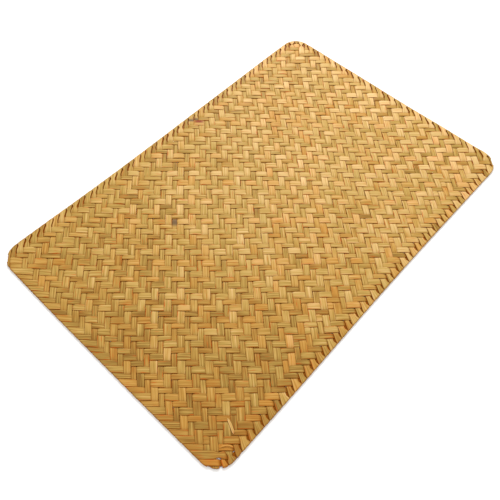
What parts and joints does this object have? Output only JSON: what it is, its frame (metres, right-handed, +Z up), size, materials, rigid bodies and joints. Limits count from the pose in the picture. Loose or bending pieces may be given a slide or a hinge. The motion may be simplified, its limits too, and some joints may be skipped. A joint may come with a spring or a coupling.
{
  "type": "pandanus mat",
  "caption": "Flat rectangular mat plaited on the bias from dried pandanus leaf strips, with rounded corners and folded edges, to lay on a table under a place setting.",
  "frame": {"origin": "on the underside, below the middle of the mat's box", "axes": "+Z up out of the top face, +X along the long side, +Y along the short side"},
  "size_m": [0.4498, 0.3006, 0.002],
  "materials": {
    "pandanus_leaf": "dried leaf strips, straw yellow to ochre, with a soft sheen and fine lengthwise fibres"
  },
  "bodies": {
    "root": {"mat": "pandanus_leaf"}
  },
  "joints": []
}
